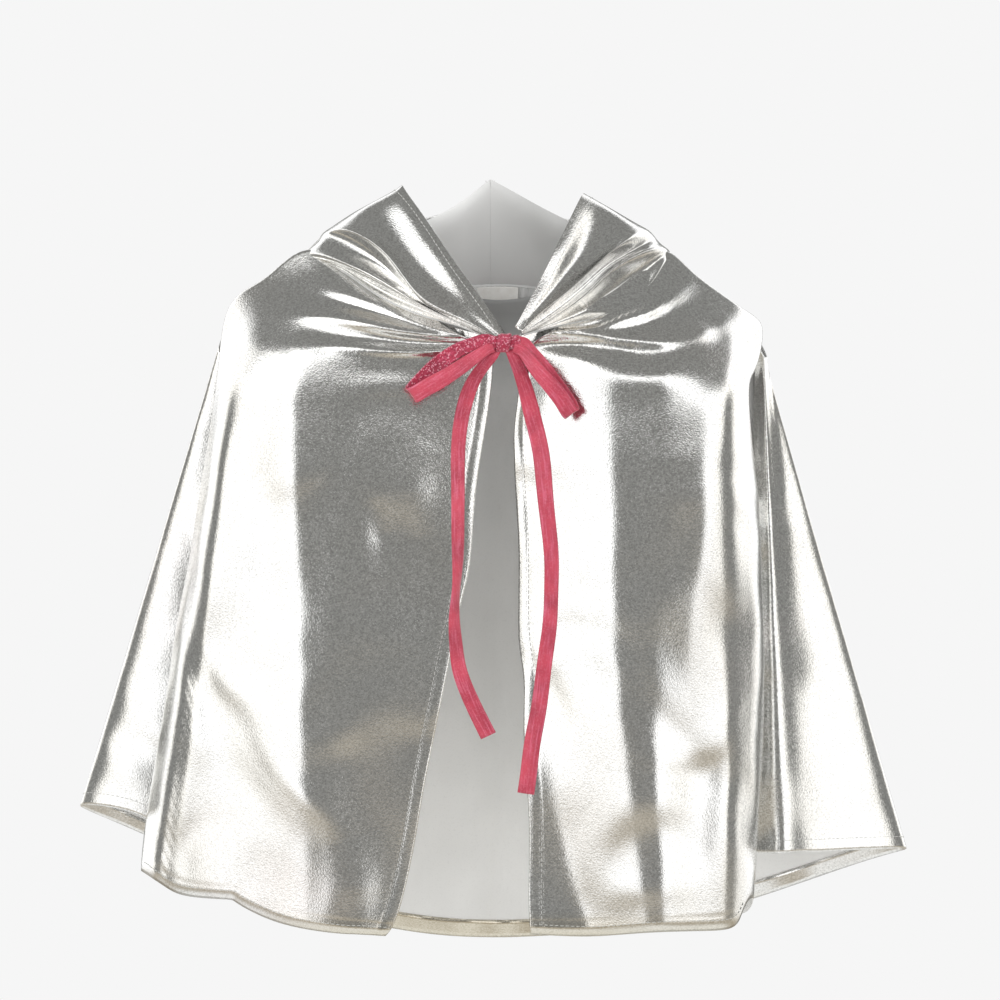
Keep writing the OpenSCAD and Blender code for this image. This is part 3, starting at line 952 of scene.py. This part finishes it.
# Lines from the knot up to the shoulder, one behind the other from the opening's edge outwards.
HOOD_LEFT = [
    [(5, -58, -26), (-12, -49, -1), (-25, -38, 17), (-42, -22, 42), (-55, -9, 60), (-57, 0, 63),
     (-58, 10, 61)],
    [(4, -60, -27), (-15, -53, -4), (-30, -43, 13), (-47, -28, 37), (-60, -13, 55), (-63, 0, 59),
     (-64, 10, 57)],
    [(2, -61, -28), (-18, -56, -9), (-37, -45, 6), (-56, -30, 29), (-71, -13, 48), (-76, 0, 52),
     (-77, 10, 50)],
    [(0, -61, -28), (-20, -58, -13), (-42, -50, 1), (-62, -36, 23), (-80, -17, 41), (-88, -1, 45),
     (-90, 10, 43)],
    [(-1, -62, -28), (-22, -60, -17), (-46, -56, -4), (-66, -45, 21), (-88, -24, 36), (-99, -5, 37),
     (-102, 9, 36)],
    [(-2, -61, -28), (-22, -59, -18), (-46, -51, -6), (-68, -38, 18), (-92, -17, 33), (-103, -3, 33),
     (-106, 9, 32)],
    [(-2, -61, -29), (-22, -59, -19), (-46, -52, -7), (-70, -39, 12), (-96, -17, 26), (-107, -4, 28),
     (-110, 9, 27)],
    [(-3, -62, -29), (-22, -61, -20), (-46, -57, -9), (-72, -46, 6), (-98, -24, 18), (-113, -5, 22),
     (-116, 9, 22)],
    [(-3, -60, -30), (-22, -58, -21), (-46, -49, -11), (-72, -36, 2), (-96, -18, 15), (-113, -3, 20),
     (-117, 9, 20)],
    [(-4, -62, -30), (-22, -60, -22), (-46, -56, -15), (-72, -43, -3), (-94, -24, 12), (-112, -4, 19),
     (-118, 9, 18)],
    [(-4, -59, -30), (-22, -55, -22), (-46, -48, -13), (-70, -34, -1), (-92, -18, 12), (-110, -1, 17),
     (-117, 9, 16)],
]
HOOD_RIGHT = [
    [(11, -60, -22), (20, -54, -5), (29, -46, 13), (40, -32, 35), (49, -18, 53), (52, -5, 58), (53, 8, 57)],
    [(12, -60, -23), (24, -54, -7), (35, -45, 9), (46, -31, 31), (55, -16, 49), (59, -3, 54), (60, 9, 53)],
    [(13, -61, -24), (25, -54, -10), (39, -44, 5), (53, -29, 25), (65, -14, 42), (71, -1, 47),
     (72, 10, 46)],
    [(14, -61, -24), (26, -57, -13), (43, -49, 3), (60, -36, 19), (76, -20, 35), (83, -3, 40),
     (84, 10, 39)],
    [(15, -62, -25), (27, -60, -13), (46, -54, 2), (66, -42, 21), (80, -26, 31), (89, -6, 36), (91, 9, 35)],
    [(15, -61, -25), (28, -58, -15), (48, -48, 1), (68, -35, 18), (84, -19, 27), (93, -4, 32), (95, 9, 31)],
    [(15, -61, -26), (30, -58, -17), (50, -49, -3), (68, -38, 13), (86, -21, 24), (96, -5, 28),
     (99, 9, 27)],
    [(16, -62, -26), (32, -61, -18), (53, -54, -4), (68, -44, 10), (86, -28, 21), (99, -8, 25),
     (103, 9, 24)],
    [(16, -61, -27), (34, -58, -20), (56, -46, -10), (72, -34, 1), (88, -20, 12), (100, -6, 21),
     (104, 9, 21)],
    [(16, -62, -27), (36, -60, -22), (58, -53, -17), (76, -40, -9), (92, -26, 4), (101, -8, 17),
     (105, 9, 18)],
    [(16, -60, -27), (34, -56, -21), (56, -46, -15), (73, -32, -7), (88, -18, 4), (99, -3, 15),
     (104, 9, 15)],
]


def lifted(piece):
    """Bakes a piece's placement into its mesh."""
    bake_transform(piece)


HOOD_ACROSS = 150
HOOD_ALONG = 130
hood_grids = {}
for side, lines in (("left", HOOD_LEFT), ("right", HOOD_RIGHT)):
    grid = carried(loft(lines, HOOD_ACROSS, HOOD_ALONG))
    hood_grids[side] = grid
    given(cloth(f"hood_{side}", grid, FORWARD, FOIL, LINING), "cape", f"hood_side_{side}")

HOOD_BACK_ACROSS = 70
HOOD_BACK_ALONG = 80
for side, sign in (("left", -1), ("right", 1)):
    mid = [(-4, 37, -1), (-4, 28, 30), (-4, 21, 58), (-4, 25, 66), (-4, 31, 60)]
    x = 11 * sign - 2
    near = [(x, 35, -1), (x, 27, 28), (x, 20, 51), (x, 24, 59), (x, 30, 53)]
    half = [(27 * sign, 29, -2), (27 * sign, 22, 24), (27 * sign, 16, 41), (27 * sign, 19, 49),
            (27 * sign, 25, 43)]
    rim = [(44 * sign, 18, -3), (45 * sign, 12, 20), (46 * sign, 7, 33), (47 * sign, 9, 39),
           (48 * sign, 15, 33)]
    grid = carried(loft([mid, near, half, rim], HOOD_BACK_ACROSS, HOOD_BACK_ALONG))
    piece = cloth(f"hood_back_{side}_half", grid, BACKWARD, FOIL, LINING)
    given(piece, "cape", f"hood_back_{side}")

BAG_ACROSS = 90
BAG_ALONG = 110
BAG_MID = [
    (-4, 26, 65), (0, 44, 40), (0, 56, 0), (0, 60, -45), (0, 58, -90), (0, 50, -121), (0, 42, -128),
]
BAG_LEFT = [
    (-58, 8, 61), (-98, 8, 38), (-118, 8, 17), (-120, 14, -8), (-106, 22, -58), (-68, 34, -104),
    (-30, 38, -121),
]
BAG_RIGHT = [
    (53, 8, 56), (86, 8, 37), (104, 8, 16), (108, 14, -8), (97, 22, -58), (64, 34, -104), (30, 38, -121),
]
for side, edge in (("left", BAG_LEFT), ("right", BAG_RIGHT)):
    pairs = list(zip(edge, BAG_MID))[1:]
    inner = [(0.34 * edge[0][0], 24, 52)]
    inner += [(0.30 * e[0], m[1] * 0.75 + e[1] * 0.25 + 3, m[2] * 0.72 + e[2] * 0.28) for e, m in pairs]
    outer = [(0.72 * edge[0][0], 17, 40)]
    outer += [(0.70 * e[0], m[1] * 0.38 + e[1] * 0.62 + 6, m[2] * 0.34 + e[2] * 0.66) for e, m in pairs]
    grid = loft([BAG_MID, inner, outer, edge], BAG_ACROSS, BAG_ALONG)
    u = np.linspace(0, 1, BAG_ACROSS)[None]
    v = np.linspace(0, 1, BAG_ALONG)[:, None]
    drape = 2.4 * np.sin(9.5 * u + 1.6 * np.sin(3 * v) + 0.8) + 2.0 * np.sin(13 * v + 3.5 * u * u)
    # The drape fades out at the seams.
    grid[..., 1] += drape * np.sqrt(np.clip(np.sin(np.pi * u), 0, 1)) * np.sin(np.pi * v)
    piece = cloth(f"hood_bag_{side}_half", carried(grid), BACKWARD, FOIL, LINING)
    lifted(piece)
    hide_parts(f"hood_bag_{side}")


# ---------- hems, neck and knot ----------


def rows_within(grid, reach):
    """The part of a grid that is nearer to its last row than reach."""
    up = run_from(grid, last=True).mean(1)
    return grid[up < reach]


HEM_GAP = 0.0009
HEM_DEPTH = 0.0115
EDGE_HEM_COLUMNS = 12
HOOD_HEM_COLUMNS = 10
for side, grid in (("left", left_grid), ("right", right_grid)):
    hem = rows_within(grid[:, 8:FRONT_COLUMNS], HEM_DEPTH)
    piece = inset_band(f"{side}_bottom_hem", hem, FORWARD, HEM_GAP)
    given(piece, "cape", f"bottom_hem_{side}")
    piece = inset_band(f"{side}_front_edge_hem", grid[:-2, :EDGE_HEM_COLUMNS], FORWARD, HEM_GAP)
    given(piece, "cape", f"front_edge_hem_{side}")

hem = rows_within(back_grid, HEM_DEPTH)
given(inset_band("back_bottom_hem", hem, back_way(hem), HEM_GAP), "cape", "bottom_hem_back")

for side, grid in hood_grids.items():
    piece = inset_band(f"hood_{side}_edge_hem", grid[:, :HOOD_HEM_COLUMNS], FORWARD, HEM_GAP)
    given(piece, "cape", f"hood_edge_hem_{side}")

NECK = [
    (-7, -58, -34), (-34, -43, -27), (-47, -12, -17), (-38, 18, -9), (0, 34, -4), (42, 18, -9),
    (51, -12, -17), (38, -43, -27), (15, -58, -34),
]
NECK_MIDDLE = np.array([0.002, -0.012, 0.0])


NECK_ROWS = 14
# Towards the knot, at both ends, the neck's pieces are set in further and lie flat.
NECK_END = 0.14
NECK_END_INSET = 3.2


def neck_piece(name, part, span, inset, gather, waves, materials, cols=420, thick=0.0006):
    """A band round the neck.

    part is the share of the way round that it covers, span its lower and upper edge in mm, and gather the
    size of its waves.
    """
    share = np.linspace(0, 1, cols)
    kept = (share >= part[0]) & (share <= part[1])
    line = curve_through(mm(NECK), cols)[kept]
    share = share[kept]
    out = line - NECK_MIDDLE
    out[:, 2] = 0
    out /= np.linalg.norm(out, axis=1, keepdims=True)
    h = np.linspace(0, 1, NECK_ROWS)[:, None]
    inner = smooth(share / NECK_END) * smooth((1 - share) / NECK_END)
    wave = np.sin(share * waves * 2 * np.pi) + 0.6 * np.sin(share * waves * 3.3 + 1.0)
    wave *= inner
    shift = -inset - NECK_END_INSET * (1 - inner) + gather * wave[None] * (0.4 + 0.6 * np.sin(np.pi * h))
    grid = line[None] + out[None] * (shift * MM)[..., None]
    edge = 0.3 * np.sin(share * waves * 2 * np.pi + 0.8)
    grid[..., 2] += ((1 - h) * span[0] + h * span[1] + (1 - h) * edge * gather) * MM
    grid = carried(grid / MM)
    return cloth(name, grid, np.broadcast_to(out[None], grid.shape), materials[0], materials[1],
                 thick), grid


ROUND = (0, 1)
piece, _ = neck_piece("neck_band_cloth", ROUND, (-4.5, 7.5), 0.0, 0.5, 46, (FOIL, LINING))
given(piece, "cape", "neck_band")
piece, casing_grid = neck_piece("neck_casing_cloth", ROUND, (-4.2, 7.2), 2.8, 0.45, 46, (LINING, LINING))
given(piece, "cape", "neck_casing")
piece, _ = neck_piece("neck_ribbon_run", ROUND, (-3.3, 6.3), 1.4, 0.25, 46, (SATIN, SATIN), thick=0.0005)
given(piece, "cape", "neck_ribbon")
piece, _ = neck_piece(
    "neck_label_tape", (0.452, 0.548), (-3.0, 6.0), 3.8, 0.0, 10, (LABEL, LABEL), cols=700, thick=0.0004
)
given(piece, "cape", "neck_label")


def knot():
    """The bow's knot: a pleated core and the band wrapped round it. Sizes are in mm."""
    centre = mm((4, -62, -33))
    core_half, core_y, core_z = 10.5, 4.4, 5.2
    band_half, band_y, band_z = 4.0, 4.3, 5.2
    rows, cols = 56, 60
    u = np.linspace(0, 2 * np.pi, rows, endpoint=False)[:, None]
    s = np.linspace(-1, 1, cols)[None]
    swell = 0.62 + 0.48 * np.abs(s) ** 1.3
    close = np.sqrt(np.clip(1 - np.abs(s) ** 7, 0, 1))
    pleat = 1 + 0.10 * np.sin(u * 7 + s * 2.0) + 0.05 * np.sin(u * 12 + 1)
    girth = swell * close * pleat
    core = np.stack([s * core_half + 0 * u, core_y * girth * np.cos(u), core_z * girth * np.sin(u)], -1)
    verts = core.reshape(-1, 3) * MM + centre
    k = np.arange(rows * cols).reshape(rows, cols)
    down = np.roll(k, -1, 0)
    quads = np.stack([k[:, :-1], k[:, 1:], down[:, 1:], down[:, :-1]], -1).reshape(-1, 4)
    piece = new_piece("bow_knot_core", verts, quads, [GLITTER], verts[:, [0, 2]])
    clean(piece)
    around = np.linspace(0, 2 * np.pi, 72, endpoint=False)[:, None]
    section = np.linspace(0, 2 * np.pi, 26, endpoint=False)[None]
    across = np.sign(np.cos(section)) * np.abs(np.cos(section)) ** 0.55 * band_half
    crease = 1 + 0.07 * np.sin(across * 2.6 + 0.5) + 0.03 * np.sin(across * 5 + around * 2)
    rise = np.sign(np.sin(section)) * np.abs(np.sin(section)) ** 0.8 * 0.55
    radius_y, radius_z = band_y * crease + rise, band_z * crease + rise
    lean = 0.8 * np.sin(around)
    band = np.stack([across + lean, radius_y * np.cos(around), radius_z * np.sin(around)], -1)
    wrap = closed_ring("bow_knot_wrap", band * MM + centre, [GLITTER])
    return piece, wrap


for piece in knot():
    given(piece, "cape", "bow_knot")

SEAM_POINTS = 140
seam = curve_through(carried(BAG_MID), SEAM_POINTS) + np.array([0, 0.0006, 0])
half_width = np.tile([[0.0016, 0, 0]], (SEAM_POINTS, 1))
piece = strip("hood_seam_allowance", seam, half_width, [FOIL, FOIL], 0.0009, 0.0006, way=BACKWARD)
lifted(piece)
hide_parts("hood_centre_seam")


# ---------- stitches ----------


STITCH_SIZES = {"Pitch": 0.0031, "Thread length": 0.0024, "Thread thickness": 0.00042}
STITCH_LIFT = 0.0002


def stitch_tree():
    """Lays short threads end to end along a line, a little apart."""
    tree = bpy.data.node_groups.new("stitches", "GeometryNodeTree")
    face = tree.interface
    face.new_socket("Geometry", in_out="INPUT", socket_type="NodeSocketGeometry")
    for name, value in STITCH_SIZES.items():
        face.new_socket(name, in_out="INPUT", socket_type="NodeSocketFloat").default_value = value
    face.new_socket("Material", in_out="INPUT", socket_type="NodeSocketMaterial")
    face.new_socket("Geometry", in_out="OUTPUT", socket_type="NodeSocketGeometry")

    def node(kind, settings=None, links=None):
        n = tree.nodes.new(kind)
        for key, value in (settings or {}).items():
            setattr(n, key, value)
        for key, value in (links or {}).items():
            if isinstance(value, bpy.types.NodeSocket):
                tree.links.new(value, n.inputs[key])
            else:
                n.inputs[key].default_value = value
        return n

    given_in = node("NodeGroupInput").outputs
    line = node("GeometryNodeMeshToCurve", {}, {"Mesh": given_in["Geometry"]}).outputs[0]
    sampling = {"Curve": line, "Length": given_in["Pitch"]}
    spaced = node("GeometryNodeResampleCurve", {"mode": "LENGTH"}, sampling).outputs[0]
    ball = node("GeometryNodeMeshUVSphere", {}, {"Segments": 6, "Rings": 5, "Radius": 0.5}).outputs[0]
    thickness = given_in["Thread thickness"]
    sizes = {0: thickness, 1: thickness, 2: given_in["Thread length"]}
    size = node("ShaderNodeCombineXYZ", {}, sizes).outputs[0]
    tangent = node("GeometryNodeInputTangent").outputs[0]
    turn = node("FunctionNodeAlignRotationToVector", {"axis": "Z"}, {"Vector": tangent}).outputs[0]
    laying = {"Points": spaced, "Instance": ball, "Rotation": turn, "Scale": size}
    laid = node("GeometryNodeInstanceOnPoints", {}, laying).outputs[0]
    real = node("GeometryNodeRealizeInstances", {}, {"Geometry": laid}).outputs[0]
    colouring = {"Geometry": real, "Material": given_in["Material"]}
    coloured = node("GeometryNodeSetMaterial", {}, colouring).outputs[0]
    node("NodeGroupOutput", {}, {"Geometry": coloured})
    return tree


STITCHES = stitch_tree()


def stitched(name, lines):
    """One mesh of stitches along all the lines."""
    verts = np.concatenate(lines)
    edges, start = [], 0
    for line in lines:
        edges += [(start + k, start + k + 1) for k in range(len(line) - 1)]
        start += len(line)
    mesh = bpy.data.meshes.new(name + "_lines")
    mesh.from_pydata(verts.tolist(), edges, [])
    guide = placed(name + "_lines", mesh)
    modifier = guide.modifiers.new("stitches", "NODES")
    modifier.node_group = STITCHES
    for socket in STITCHES.interface.items_tree:
        if socket.in_out == "INPUT" and socket.name in STITCH_SIZES:
            modifier[socket.identifier] = STITCH_SIZES[socket.name]
        if socket.in_out == "INPUT" and socket.name == "Material":
            modifier[socket.identifier] = THREAD
    graph = bpy.context.evaluated_depsgraph_get()
    made = bpy.data.meshes.new_from_object(guide.evaluated_get(graph))
    made.name = name
    piece = placed(name, made)
    made.polygons.foreach_set("use_smooth", np.ones(len(made.polygons), bool))
    bpy.data.objects.remove(guide)
    return piece


def along_hem(grid, way, reach):
    """A line on the cloth at a fixed distance above its last row."""
    up = run_from(grid, last=True)
    raised = grid + facing(grid, way) * STITCH_LIFT
    line = []
    for column in range(grid.shape[1]):
        order = np.argsort(up[:, column])
        line.append([np.interp(reach, up[order, column], raised[order, column, k]) for k in range(3)])
    return np.array(line)


def beside_edge(grid, way, reach):
    """A line on the cloth at a fixed distance in from its first column."""
    return along_hem(np.swapaxes(grid, 0, 1)[::-1], way, reach)


HOOD_STITCH = 0.0055
CASING_STITCH_DEPTH = 0.0008
lines = []
for grid in (left_grid, right_grid):
    lines.append(along_hem(grid[:, 4:FRONT_COLUMNS], FORWARD, HEM))
    lines.append(beside_edge(grid[6:-4], FORWARD, HEM))
lines.append(along_hem(back_grid, back_way(back_grid), HEM))
for grid in hood_grids.values():
    lines.append(beside_edge(grid[6:], FORWARD, HOOD_STITCH))
casing_out = facing(casing_grid, casing_grid - NECK_MIDDLE)
for row in (2, 12):
    lines.append(casing_grid[row] - casing_out[row] * CASING_STITCH_DEPTH)
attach(stitched("cape_stitches", lines), "cape")

lifted(stitched("hood_stitches", [seam + np.array([x, 0.0010, 0]) for x in (-0.0026, 0.0026)]))
